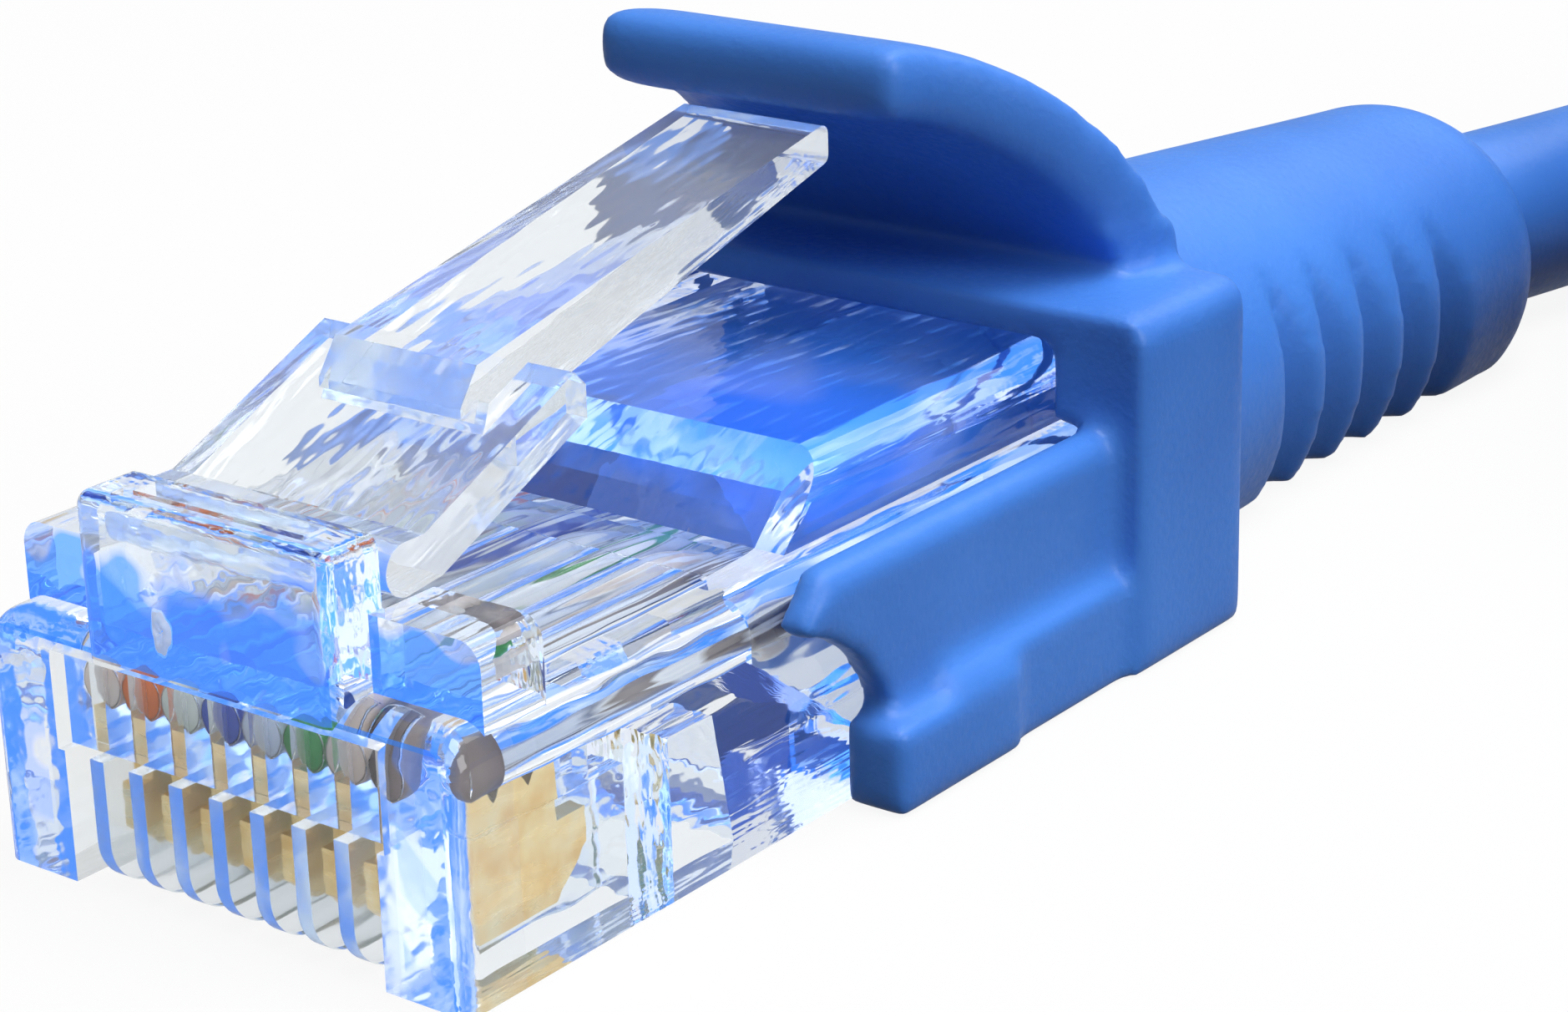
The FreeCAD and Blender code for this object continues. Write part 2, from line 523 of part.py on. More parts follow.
def make_boot_base():
    """The boot's collar, cheeks and ledges. The strain relief joins them in make_strain_relief_boot."""
    body = new_body("boot_base")
    ledge_bottom = "Sizes.ledge_height - Sizes.cheek_rounding"
    inside_collar = COLLAR_FRONT + " + Sizes.collar_step"
    collar_sketch = outline(body, "collar_outline", "XZ_Plane", rectangle(
        "-%s / 2" % COLLAR_WIDTH, "%s / 2" % COLLAR_WIDTH, "0", "Sizes.collar_height"), "-" + COLLAR_FRONT)
    feature(body, "Pad", "collar", collar_sketch, "Sizes.collar_length", turned=True)
    cheek_sketch = outline(body, "cheek_outline", "YZ_Plane", [
        ("Sizes.cheek_front", "Sizes.cheek_notch", "Sizes.cheek_curve", -1),
        ("Sizes.ledge_front + Sizes.cheek_wall", ledge_bottom),
        (inside_collar, ledge_bottom),
        (inside_collar, "Sizes.cheek_height"),
        ("Sizes.cheek_front + Sizes.cheek_wall", "Sizes.cheek_height"),
        ("Sizes.cheek_front", "Sizes.cheek_height - Sizes.cheek_wall")])
    feature(body, "Pad", "cheeks", cheek_sketch, CHEEK_WIDTH, middle=True)
    ledge_sketch = outline(body, "ledge_outline", "YZ_Plane", rectangle(
        "Sizes.ledge_front", "Sizes.ledge_front + Sizes.ledge_length", "0", "Sizes.ledge_height"))
    feature(body, "Pad", "ledges", ledge_sketch, COLLAR_WIDTH, middle=True)
    back_ledge_sketch = outline(body, "back_ledge_outline", "YZ_Plane", rectangle(
        "Sizes.ledge_front + Sizes.ledge_length / 2", inside_collar, "0",
        "Sizes.ledge_height + Sizes.ledge_rise"))
    ledges = feature(body, "Pad", "back_ledges", back_ledge_sketch,
                     COLLAR_WIDTH + " - 2 * Sizes.ledge_setback", middle=True)
    cheek_edges = rounded(
        body, "cheek_edges", ledges, "Sizes.cheek_rounding",
        lambda edge, middle: along_y(edge) and near(middle.z, size("cheek_height")))
    collar_edges = rounded(
        body, "collar_edges", cheek_edges, "Sizes.collar_rounding",
        lambda edge, middle: (
            near(middle.y, collar_back()) and not near(middle.z, 0)
            or along_y(edge) and near(middle.z, size("collar_height"))))

    # The plug's back part goes into the boot, which is open underneath.
    in_front = "Sizes.cheek_front - Sizes.cheek_wall"
    housing_end = "Sizes.body_length + Sizes.boot_clearance"
    socket_sketch = outline(body, "socket_outline", "YZ_Plane", rectangle(
        in_front, housing_end, "-1", "Sizes.deck_height + Sizes.boot_clearance"))
    feature(body, "Pocket", "socket", socket_sketch,
            "Sizes.body_width + 2 * Sizes.boot_clearance", middle=True)
    hump_sketch = outline(body, "hump_socket_outline", "YZ_Plane", rectangle(
        in_front, housing_end, "-1", "Sizes.hump_height + Sizes.boot_clearance"))
    hump_socket = feature(body, "Pocket", "hump_socket", hump_sketch,
                          "Sizes.hump_width + 2 * Sizes.boot_clearance", middle=True)
    body.Tip = hump_socket
    return body


def collar_back():
    return size("body_length") + size("collar_overhang")


def relief_shape():
    """The strain relief: a turned, tapered sleeve, flat underneath, with grooves and a rounded end."""
    start = FreeCAD.Vector(0, collar_back(), size("relief_centre"))
    length = size("relief_length")
    droop = size("relief_end_centre") - size("relief_centre")
    axis = FreeCAD.Vector(0, length, droop).normalize()
    outward = FreeCAD.Vector(0, -axis.z, axis.y)

    def place(along, out):
        return start.add(FreeCAD.Vector(axis).multiply(along)).add(FreeCAD.Vector(outward).multiply(out))

    def line(first, last):
        return Part.LineSegment(place(*first), place(*last)).toShape()

    def arc(first, middle, last):
        return Part.Arc(place(*first), place(*middle), place(*last)).toShape()

    radius = size("relief_radius")
    flare = size("relief_flare")
    nose = length - size("relief_nose")
    end_radius = size("relief_end_radius")
    tip_radius = size("relief_tip_radius")
    inside = (-flare, 0)
    root = (-flare, radius + flare)
    face = (0, radius + flare)
    flare_end = (2 * flare, radius)
    shoulder = (nose, end_radius)
    tip = (length, tip_radius)
    end = (length, 0)
    profile = Part.Wire([
        line(inside, root), line(root, face),
        arc(face, (0.6 * flare, radius + 0.3 * flare), flare_end),
        line(flare_end, shoulder),
        arc(shoulder, (nose + 0.62 * (length - nose), end_radius - 0.3 * (end_radius - tip_radius)), tip),
        line(tip, end), line(end, inside)])
    shape = Part.Face(profile).revolve(start, axis, 360)
    shape = shape.cut(Part.makeBox(4 * radius, 2 * length, radius,
                                   FreeCAD.Vector(-2 * radius, start.y - length / 2, -radius)))
    cutters = []
    for number in range(int(size("groove_count"))):
        for side in (-1, 1):
            cutters.append(groove_cutter(number, side, radius, end_radius, nose))
    return shape.cut(cutters)


def groove_cutter(number, side, radius, end_radius, nose):
    """Half a ring outside a cone that is set over to the other side, so the groove fades out up and down."""
    behind = size("groove_start") + number * size("groove_pitch")
    front = collar_back() + behind
    outer = radius + (end_radius - radius) * behind / nose
    depth = size("groove_depth")
    fade = size("groove_fade")
    height = size("relief_centre") + depth
    slab = Part.makeBox(2 * radius, size("groove_width"), 4 * radius,
                        FreeCAD.Vector(0 if side > 0 else -2 * radius, front, height - 2 * radius))
    core = Part.makeCone(outer + fade, outer + fade + depth, size("groove_width"),
                         FreeCAD.Vector(-side * (fade + depth), front, height), FreeCAD.Vector(0, 1, 0))
    return slab.cut(core)


def hood_pivot_back():
    return collar_back() - size("hood_pivot_inset")


def make_hood():
    """The springy hood that shields the latch: a curved sheet, open at both sides."""
    body = new_body("boot_hood")
    root_sketch = circle_sketch(body, "hood_root_outline", "YZ_Plane", HOOD_PIVOT_BACK,
                                "Sizes.hood_pivot_height", "Sizes.hood_root_radius")
    feature(body, "Pad", "hood_root", root_sketch, "Sizes.hood_back_width", middle=True)
    sheet_sketch = outline(body, "hood_outline", "YZ_Plane", [
        (HOOD_FRONT, "Sizes.hood_top - Sizes.hood_thickness", "Sizes.hood_inner_radius", -1),
        (HOOD_PIVOT_BACK + " - Sizes.hood_root_radius", "Sizes.hood_pivot_height"),
        (HOOD_PIVOT_BACK + " + Sizes.hood_root_radius", "Sizes.hood_pivot_height",
         "Sizes.hood_outer_radius", 1),
        (HOOD_FRONT, "Sizes.hood_top")])
    feature(body, "Pad", "hood_sheet", sheet_sketch, "Sizes.hood_back_width", middle=True)
    beside = "(Sizes.hood_back_width / 2 + Sizes.hood_thickness)"
    before = HOOD_FRONT + " - Sizes.hood_thickness"
    for name, sign in (("left", "-"), ("right", "")):
        trim_sketch = outline(body, "hood_trim_outline_" + name, "XY_Plane", [
            (sign + "Sizes.hood_front_width / 2", before),
            (sign + "Sizes.hood_front_width / 2", HOOD_FRONT + " + Sizes.hood_thickness"),
            (sign + "Sizes.hood_back_width / 2", HOOD_PIVOT_BACK),
            (sign + beside, HOOD_PIVOT_BACK),
            (sign + beside, before)],
            "Sizes.hood_top + Sizes.hood_thickness")
        trim = feature(body, "Pocket", "hood_trim_" + name, trim_sketch, "Sizes.hood_top")
    lip = rounded(body, "hood_lip", trim, "Sizes.hood_lip_rounding",
                  lambda edge, middle: along_x(edge) and near(middle.y, hood_front()))
    body.Tip = lip
    return body


def hood_front():
    return hood_pivot_back() - size("hood_reach")


def rounded_path(points):
    """Straight runs joined by tangent arcs, each as large as its two runs allow. Prints the radii."""
    places = [FreeCAD.Vector(*point) for point in points]
    edges = []
    radii = []
    start = places[0]
    for before, corner, after in zip(places, places[1:], places[2:]):
        incoming = corner.sub(before)
        outgoing = after.sub(corner)
        turn = incoming.getAngle(outgoing)
        if turn < 0.001:
            continue
        shorter = min(incoming.Length, outgoing.Length)
        reach = 0.45 * shorter
        radii.append(reach / math.tan(turn / 2))
        to_start = FreeCAD.Vector(incoming).normalize()
        to_end = FreeCAD.Vector(outgoing).normalize()
        arc_start = corner.sub(FreeCAD.Vector(to_start).multiply(reach))
        arc_end = corner.add(FreeCAD.Vector(to_end).multiply(reach))
        inward = FreeCAD.Vector(to_end).sub(to_start).normalize()
        middle_reach = radii[-1] * (1 / math.cos(turn / 2) - 1)
        arc_middle = corner.add(inward.multiply(middle_reach))
        edges.append(Part.LineSegment(start, arc_start).toShape())
        edges.append(Part.Arc(arc_start, arc_middle, arc_end).toShape())
        start = arc_end
    edges.append(Part.LineSegment(start, places[-1]).toShape())
    print("bend radii:", ", ".join("%.1f" % radius for radius in radii))
    return Part.Wire(edges)


def tube_along(path, diameter):
    start = path.Edges[0].valueAt(path.Edges[0].FirstParameter)
    direction = path.Edges[0].tangentAt(path.Edges[0].FirstParameter)
    ring = Part.Wire([Part.makeCircle(diameter / 2, start, direction)])
    tube = path.makePipeShell([ring], True, False)
    expected = math.pi * diameter ** 2 / 4 * path.Length
    print("tube volume %.1f against section x length %.1f" % (tube.Volume, expected))
    return tube


def piece(label, shape, placement=None):
    made = doc.addObject("Part::Feature", label)
    made.Label = label
    made.Shape = shape
    made.Placement = placement or NEAR_PLACEMENT
    return made


NEAR_PLACEMENT = FreeCAD.Placement()
NEAR_PLACEMENT.Base = FreeCAD.Vector(0, -(collar_back() + size("relief_length")) / 2, 0)


def wire_path(number):
    """From its contact each wire first steps up or down, then closes in, two rows of four in the jacket."""
    pitch = size("contact_pitch")
    across = (number - (CONTACTS + 1) / 2) * pitch
    column = (number - 1) // 2
    end_across = (column - (CONTACTS / 2 - 1) / 2) * pitch
    row = 1 if number % 2 == 0 else -1
    end_height = size("cable_height") + row * pitch / 2
    gap = size("jacket_start") - size("bay_end")
    return rounded_path([
        (across, size("wire_front"), size("wire_height")),
        (across, size("bay_end") + 0.2 * gap, size("wire_height")),
        (across, size("bay_end") + 0.55 * gap, end_height),
        (end_across, size("jacket_start") - 0.05 * gap, end_height),
        (end_across, size("jacket_start") + 0.6 * gap, end_height)])


housing = make_plug_housing()
latch = make_latch()
contacts = [make_contact(number) for number in range(1, CONTACTS + 1)]
boot_base = make_boot_base()
hood = make_hood()
doc.recompute()


def make_strain_relief_boot():
    """The moulded boot: its collar, cheeks and ledges, and the grooved strain relief, round the cable."""
    bore = Part.makeCylinder(
        size("cable_diameter") / 2 + size("boot_clearance"), 2 * size("relief_length"),
        FreeCAD.Vector(0, size("body_length"), size("cable_height")), FreeCAD.Vector(0, 1, 0))
    width = size("hood_back_width") + 2 * size("pivot_clearance")
    seat = Part.makeCylinder(
        size("hood_root_radius") + size("pivot_clearance"), width,
        FreeCAD.Vector(-width / 2, hood_pivot_back(), size("hood_pivot_height")),
        FreeCAD.Vector(1, 0, 0))
    moulding = boot_base.Shape.copy()
    moulding.Placement = FreeCAD.Placement()
    shape = moulding.fuse(relief_shape()).cut([bore, seat]).removeSplitter()
    return piece("strain_relief_boot", shape)


def make_wire(number):
    """A contact's insulated wire and its copper, both cut where the contact's teeth go through them."""
    blade = contacts[number - 1].Shape.copy()
    blade.Placement = FreeCAD.Placement()
    path = wire_path(number)
    core = tube_along(path, size("core_diameter"))
    insulation = tube_along(path, size("wire_diameter")).cut(core)
    return (piece("wire_%d" % number, insulation.cut(blade)),
            piece("wire_core_%d" % number, core.cut(blade)))


def make_cable_jacket():
    """The end of the cable inside the plug and the boot; its jacket is one solid round the wires' ends."""
    start = size("jacket_start")
    length = collar_back() + size("relief_length") - start
    centre = FreeCAD.Vector(0, start, size("cable_height"))
    shape = Part.makeCylinder(size("cable_diameter") / 2, length, centre, FreeCAD.Vector(0, 1, 0))
    for wire, core in wires:
        for item in (wire, core):
            solid = item.Shape.copy()
            solid.Placement = FreeCAD.Placement()
            shape = shape.cut(solid)
    return piece("cable_jacket", shape)


wires = [make_wire(number) for number in range(1, CONTACTS + 1)]
jacket = make_cable_jacket()
boot = make_strain_relief_boot()

# The free cord, in the row's frame: out of the boot, down to the surface and into two coiled turns,
# then off the top of the coil to the second plug.
BOOT_END = (collar_back() + size("relief_length")) / 2
CORD_Z = size("cable_diameter") / 2
ENTRY_HEADING = 36
LEAD_RUNS = [(6.5, 0, 3.15), (8.0, 11, 2.6), (8.0, 21, CORD_Z), (8.0, 30, CORD_Z), (5.0, 36, CORD_Z)]
TAIL_RUNS = [(8.0, 38, 7.1), (8.0, 47, 6.2), (9.0, 62, 4.2), (10.0, 79, 2.8), (10.0, 98, CORD_Z),
             (10.0, 117, CORD_Z), (10.0, 134.5, CORD_Z), (9.5, 150, CORD_Z), (9.0, 163, CORD_Z),
             (7.5, 174.5, 2.7), (7.0, 182, 3.15), (5.5, 186, 3.15)]


def route(start, runs):
    """Points reached by runs of (length on plan, heading in degrees right of +Y, height at its end)."""
    points = [start]
    for length, heading, height in runs:
        angle = math.radians(heading)
        points.append((points[-1][0] + length * math.sin(angle),
                       points[-1][1] + length * math.cos(angle), height))
    return points


lead_route = route((0.0, BOOT_END, size("cable_height")), LEAD_RUNS)
coil_entry = lead_route[-1]
entry_angle = math.radians(ENTRY_HEADING)
coil_centre = (coil_entry[0] + size("coil_radius") * math.cos(entry_angle),
               coil_entry[1] - size("coil_radius") * math.sin(entry_angle))
tail_route = route((coil_entry[0], coil_entry[1], CORD_Z + size("cable_diameter")), TAIL_RUNS)


def make_coil():
    """The outer shape of the coiled turns, one on the other."""
    radius = size("coil_radius")
    half = size("cable_diameter") / 2
    top = CORD_Z + (size("coil_turns") - 1) * size("cable_diameter")
    corners = [FreeCAD.Vector(radius - half, 0, CORD_Z), FreeCAD.Vector(radius - half, 0, top),
               FreeCAD.Vector(radius + half, 0, top), FreeCAD.Vector(radius + half, 0, CORD_Z)]
    over = FreeCAD.Vector(radius, 0, top + half)
    under = FreeCAD.Vector(radius, 0, CORD_Z - half)
    section = Part.Wire([
        Part.LineSegment(corners[0], corners[1]).toShape(),
        Part.Arc(corners[1], over, corners[2]).toShape(),
        Part.LineSegment(corners[2], corners[3]).toShape(),
        Part.Arc(corners[3], under, corners[0]).toShape()])
    ring = Part.Face(section).revolve(FreeCAD.Vector(), FreeCAD.Vector(0, 0, 1), 360)
    return piece("patch_cord_coil", ring,
                 FreeCAD.Placement(FreeCAD.Vector(*coil_centre, 0), FreeCAD.Rotation()))


print("lead:", [tuple(round(value, 2) for value in point) for point in lead_route])
lead = piece("patch_cord_lead", tube_along(rounded_path(lead_route), size("cable_diameter")),
             FreeCAD.Placement())
coil = make_coil()
print("coil centre:", [round(value, 2) for value in coil_centre])
print("tail:", [tuple(round(value, 2) for value in point) for point in tail_route])
tail = piece("patch_cord_tail", tube_along(rounded_path(tail_route), size("cable_diameter")),
             FreeCAD.Placement())

# The second plug is the same as the first. Its cable end is at the tail's end, and it points away.
FAR_TURN = FreeCAD.Placement(
    FreeCAD.Vector(tail_route[-1][0], tail_route[-1][1], 0),
    FreeCAD.Rotation(FreeCAD.Vector(0, 0, 1), 180 - TAIL_RUNS[-1][1]))
FAR_PLACEMENT = FAR_TURN.multiply(FreeCAD.Placement(
    FreeCAD.Vector(0, -BOOT_END, 0), FreeCAD.Rotation()))


def far_copy(label, items):
    shapes = []
    for item in items:
        shape = item.Shape.copy()
        shapes.append(shape)
    joined = shapes[0] if len(shapes) == 1 else Part.makeCompound(shapes)
    joined.Placement = FAR_PLACEMENT.multiply(joined.Placement)
    made = doc.addObject("Part::Feature", label)
    made.Label = label
    made.Shape = joined
    return made


far_pieces = [
    far_copy("far_plug_housing", [housing]),
    far_copy("far_latch_tab", [latch]),
    far_copy("far_contacts", contacts),
    far_copy("far_wires", [wire for wire, core in wires]),
    far_copy("far_wire_cores", [core for wire, core in wires]),
    far_copy("far_cable_jacket", [jacket]),
    far_copy("far_boot", [boot]),
    far_copy("far_hood", [hood]),
]

near_pieces = [housing, latch, *contacts]
for wire, core in wires:
    near_pieces += [wire, core]
near_pieces += [jacket, boot, hood]
all_pieces = near_pieces + [lead, coil, tail] + far_pieces

doc.recompute()
for item in doc.Objects:
    if "Invalid" in item.State or "Error" in item.State:
        raise RuntimeError("%s failed: %s" % (item.Label, item.State))
for item in all_pieces:
    if item.Shape.isNull() or not item.Shape.isValid():
        raise RuntimeError("%s has no valid shape" % item.Label)

os.makedirs("parts", exist_ok=True)
for item in all_pieces:
    item.Shape.exportStep("parts/%s.step" % item.Label)
    print(item.Label, len(item.Shape.Solids), "solid(s), %.2f mm3" % item.Shape.Volume)
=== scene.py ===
"""Looks of a clear modular network plug with its snagless boot on a short patch cord."""
import math

import bmesh
import bpy
from mathutils import Matrix, Quaternion, Vector


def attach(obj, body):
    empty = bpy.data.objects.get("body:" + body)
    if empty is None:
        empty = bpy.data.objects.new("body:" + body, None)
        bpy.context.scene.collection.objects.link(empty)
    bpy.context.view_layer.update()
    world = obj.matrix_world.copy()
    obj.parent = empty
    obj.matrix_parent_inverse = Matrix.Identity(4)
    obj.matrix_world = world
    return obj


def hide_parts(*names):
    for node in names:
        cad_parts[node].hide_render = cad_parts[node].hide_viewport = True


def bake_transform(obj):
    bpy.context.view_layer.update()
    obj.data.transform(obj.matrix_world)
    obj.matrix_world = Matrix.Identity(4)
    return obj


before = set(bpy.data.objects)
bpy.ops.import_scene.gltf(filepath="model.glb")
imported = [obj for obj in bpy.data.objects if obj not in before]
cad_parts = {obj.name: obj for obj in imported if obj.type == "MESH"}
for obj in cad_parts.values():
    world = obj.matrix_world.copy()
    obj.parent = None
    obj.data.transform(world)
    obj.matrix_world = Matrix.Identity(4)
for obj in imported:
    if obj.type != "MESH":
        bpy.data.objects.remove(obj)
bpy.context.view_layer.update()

MM = 0.001
PLUG = "plug"


# ---------------------------------------------------------------- camera, room and light

CAMERA_AIM = Vector((1.39, -7.34, 3.93)) * MM
CAMERA_DISTANCE = 75.0 * MM
CAMERA_AZIMUTH = math.radians(37.72)
CAMERA_ELEVATION = math.radians(20.0)
CAMERA_ROLL = math.radians(-1.55)
CAMERA_LENS = 84.36


def direction(azimuth, elevation):
    """From the object towards a place round it: azimuth 0 is in front, on the -Y side."""
    return Vector((math.sin(azimuth) * math.cos(elevation),
                   -math.cos(azimuth) * math.cos(elevation),
                   math.sin(elevation)))


def make_camera():
    data = bpy.data.cameras.new("camera")
    data.lens = CAMERA_LENS
    data.sensor_width = 36.0
    data.sensor_fit = "HORIZONTAL"
    data.clip_start = 1.0 * MM
    data.clip_end = 20.0
    camera = bpy.data.objects.new("camera", data)
    bpy.context.scene.collection.objects.link(camera)
    back = direction(CAMERA_AZIMUTH, CAMERA_ELEVATION)
    camera.location = CAMERA_AIM + back * CAMERA_DISTANCE
    camera.rotation_mode = "QUATERNION"
    level = (-back).to_track_quat("-Z", "Y")
    camera.rotation_quaternion = level @ Quaternion((0, 0, 1), CAMERA_ROLL)
    bpy.context.scene.camera = camera


def area_light(name, azimuth, elevation, distance, across, power):
    """A soft box that looks at the plug: degrees, metres and watts."""
    data = bpy.data.lights.new(name, "AREA")
    data.shape = "RECTANGLE"
    data.size = across
    data.size_y = across
    data.energy = power
    lamp = bpy.data.objects.new(name, data)
    bpy.context.scene.collection.objects.link(lamp)
    back = direction(math.radians(azimuth), math.radians(elevation))
    lamp.location = back * distance
    lamp.rotation_mode = "QUATERNION"
    lamp.rotation_quaternion = (-back).to_track_quat("-Z", "Y")
    lamp.visible_camera = False


def make_lights():
    area_light("key_light", 100, 78, 0.45, 0.26, 1.8)
    area_light("side_light", 92, 28, 0.5, 0.3, 1.25)
    area_light("back_light", 175, 52, 0.5, 0.35, 0.8)
    area_light("front_light", 20, 52, 0.5, 0.3, 0.4)


GLOSS_LEVEL = 0.4
ROOM_LIGHT = 0.03
FLOOR_HALF = 1.5
FLOOR_DROP = -0.02 * MM
FLOOR_GLOW = 1.08
FLOOR_GLOW_SHARE = 0.84
FLOOR_GREY_TO_LIGHT = 0.08
FLOOR_GREY_TO_EYE = 0.4


def seen_level(tree):
    """1 for the eye and through clear plastic, less in gloss, 0 for light that falls on things."""
    path = tree.nodes.new("ShaderNodeLightPath")
    seen = tree.nodes.new("ShaderNodeMath")
    seen.operation = "MAXIMUM"
    gloss = tree.nodes.new("ShaderNodeMath")
    gloss.operation = "MULTIPLY"
    gloss.inputs[1].default_value = GLOSS_LEVEL
    level = tree.nodes.new("ShaderNodeMath")
    level.operation = "MAXIMUM"
    tree.links.new(path.outputs["Is Camera Ray"], seen.inputs[0])
    tree.links.new(path.outputs["Is Transmission Ray"], seen.inputs[1])
    tree.links.new(path.outputs["Is Glossy Ray"], gloss.inputs[0])
    tree.links.new(seen.outputs[0], level.inputs[0])
    tree.links.new(gloss.outputs[0], level.inputs[1])
    return level.outputs[0]


def between(tree, low, high):
    """low for light that falls on things, high for the eye."""
    level = tree.nodes.new("ShaderNodeMapRange")
    level.inputs["To Min"].default_value = low
    level.inputs["To Max"].default_value = high
    tree.links.new(seen_level(tree), level.inputs["Value"])
    return level.outputs["Result"]


def make_world():
    """White to the eye and through clear plastic, greyer in gloss, with a low level of light on things."""
    world = bpy.data.worlds.new("studio")
    bpy.context.scene.world = world
    world.use_nodes = True
    tree = world.node_tree
    tree.nodes.clear()
    light = tree.nodes.new("ShaderNodeBackground")
    output = tree.nodes.new("ShaderNodeOutputWorld")
    tree.links.new(between(tree, ROOM_LIGHT, 1.0), light.inputs["Strength"])
    tree.links.new(light.outputs[0], output.inputs["Surface"])


def make_floor():
    """White to the eye but for a faint shadow, and dark to the light that falls on undersides."""
    mesh = bpy.data.meshes.new("floor")
    corners = [(x * FLOOR_HALF, y * FLOOR_HALF, FLOOR_DROP) for x, y in ((-1, -1), (1, -1), (1, 1), (-1, 1))]
    mesh.from_pydata(corners, [], [(0, 1, 2, 3)])
    floor = bpy.data.objects.new("floor", mesh)
    bpy.context.scene.collection.objects.link(floor)
    material = bpy.data.materials.new("floor_white")
    material.use_nodes = True
    tree = material.node_tree
    tree.nodes.clear()
    matt = tree.nodes.new("ShaderNodeBsdfDiffuse")
    glow = tree.nodes.new("ShaderNodeEmission")
    glow.inputs["Strength"].default_value = FLOOR_GLOW
    mix = tree.nodes.new("ShaderNodeMixShader")
    output = tree.nodes.new("ShaderNodeOutputMaterial")
    tree.links.new(between(tree, FLOOR_GREY_TO_LIGHT, FLOOR_GREY_TO_EYE), matt.inputs["Color"])
    tree.links.new(between(tree, 0.0, FLOOR_GLOW_SHARE), mix.inputs["Fac"])
    tree.links.new(matt.outputs[0], mix.inputs[1])
    tree.links.new(glow.outputs[0], mix.inputs[2])
    tree.links.new(mix.outputs[0], output.inputs["Surface"])
    mesh.materials.append(material)


# ---------------------------------------------------------------- materials

class Paint:
    """A Principled material with helpers for procedural detail in object space."""

    def __init__(self, name):
        self.material = bpy.data.materials.new(name)
        self.material.use_nodes = True
        self.tree = self.material.node_tree
        self.shader = self.tree.nodes["Principled BSDF"]
        coordinates = self.tree.nodes.new("ShaderNodeTexCoord")
        self.place = coordinates.outputs["Object"]
        self.normal = coordinates.outputs["Normal"]

    def set(self, **values):
        for socket, value in values.items():
            self.shader.inputs[socket.replace("_", " ")].default_value = value

    def noise(self, scale, detail=3.0, stretch=(1.0, 1.0, 1.0)):
        """Noise whose grain is given per metre."""
        mapping = self.tree.nodes.new("ShaderNodeMapping")
        mapping.inputs["Scale"].default_value = stretch
        self.tree.links.new(self.place, mapping.inputs["Vector"])
        node = self.tree.nodes.new("ShaderNodeTexNoise")
        node.inputs["Scale"].default_value = scale
        node.inputs["Detail"].default_value = detail
        self.tree.links.new(mapping.outputs["Vector"], node.inputs["Vector"])
        return node.outputs["Fac"]

    def spread(self, source, low, high, from_low=0.3, from_high=0.7):
        """Maps a grey value to a range."""
        node = self.tree.nodes.new("ShaderNodeMapRange")
        node.inputs["From Min"].default_value = from_low
        node.inputs["From Max"].default_value = from_high
        node.inputs["To Min"].default_value = low
        node.inputs["To Max"].default_value = high
        self.tree.links.new(source, node.inputs["Value"])
        return node.outputs["Result"]

    def ramp(self, source, stops):
        """Colours along a grey value: stops are (place, colour)."""
        node = self.tree.nodes.new("ShaderNodeValToRGB")
        points = node.color_ramp.elements
        while len(points) < len(stops):
            points.new(0.5)
        for point, (place, colour) in zip(points, stops):
            point.position = place
            point.color = (*colour, 1.0)
        self.tree.links.new(source, node.inputs["Fac"])
        return node.outputs["Color"]

    def math(self, operation, first, second=0.0):
        """One step of arithmetic on grey values or numbers."""
        node = self.tree.nodes.new("ShaderNodeMath")
        node.operation = operation
        for socket, value in zip(node.inputs, (first, second)):
            if isinstance(value, (int, float)):
                socket.default_value = value
            else:
                self.tree.links.new(value, socket)
        return node.outputs[0]

    def times(self, first, *others):
        """The product of grey values or numbers."""
        product = first
        for value in others:
            product = self.math("MULTIPLY", product, value)
        return product

    def below(self, value, limit):
        return self.math("LESS_THAN", value, limit)

    def above(self, value, limit):
        return self.math("GREATER_THAN", value, limit)

    def xyz(self, vector):
        """The three numbers of a vector."""
        node = self.tree.nodes.new("ShaderNodeSeparateXYZ")
        self.tree.links.new(vector, node.inputs[0])
        return node.outputs["X"], node.outputs["Y"], node.outputs["Z"]

    def mix(self, share, first, second):
        """A colour between two, each a colour or a socket."""
        node = self.tree.nodes.new("ShaderNodeMix")
        node.data_type = "RGBA"
        self.tree.links.new(share, node.inputs["Factor"])
        ends = [socket for socket in node.inputs if socket.type == "RGBA"]
        for socket, value in zip(ends, (first, second)):
            if isinstance(value, tuple):
                socket.default_value = (*value, 1.0)
            else:
                self.tree.links.new(value, socket)
        return [socket for socket in node.outputs if socket.type == "RGBA"][0]

    def link(self, source, socket):
        self.tree.links.new(source, self.shader.inputs[socket])

    def bump(self, heights, depth):
        """Grain of a depth in metres; heights is a list of grey values."""
        last = None
        for height in heights:
            node = self.tree.nodes.new("ShaderNodeBump")
            node.inputs["Strength"].default_value = 1.0
            node.inputs["Distance"].default_value = depth
            self.tree.links.new(height, node.inputs["Height"])
            if last is not None:
                self.tree.links.new(last, node.inputs["Normal"])
            last = node.outputs["Normal"]
        self.link(last, "Normal")


MOST_REFLECTIONS = 3.5
MOST_BOUNCES = 11.5
TRAPPED_GLOW = 0.8
# strength of the painted blue glow, a painted reflection of the boot and cable
PAINTED_BLUE_STRENGTH = 0.55
POLYCARBONATE_IOR = 1.58
# faint blue tint on every crossing of the plastic: a painted reflection of the blue boot and cable
CLEAR_TINT = (0.93, 0.97, 1.0)
# tint and glow colour of the painted blue reflection
PAINTED_BLUE_TINT = (0.03, 0.16, 0.75)
PAINTED_BLUE_COLOUR = (0.05, 0.22, 0.8)
COMB_GLOW_GREY = (0.5, 0.57, 0.64)
COMB_MILK = 0.1
COMB_ROUGHNESS = 0.04
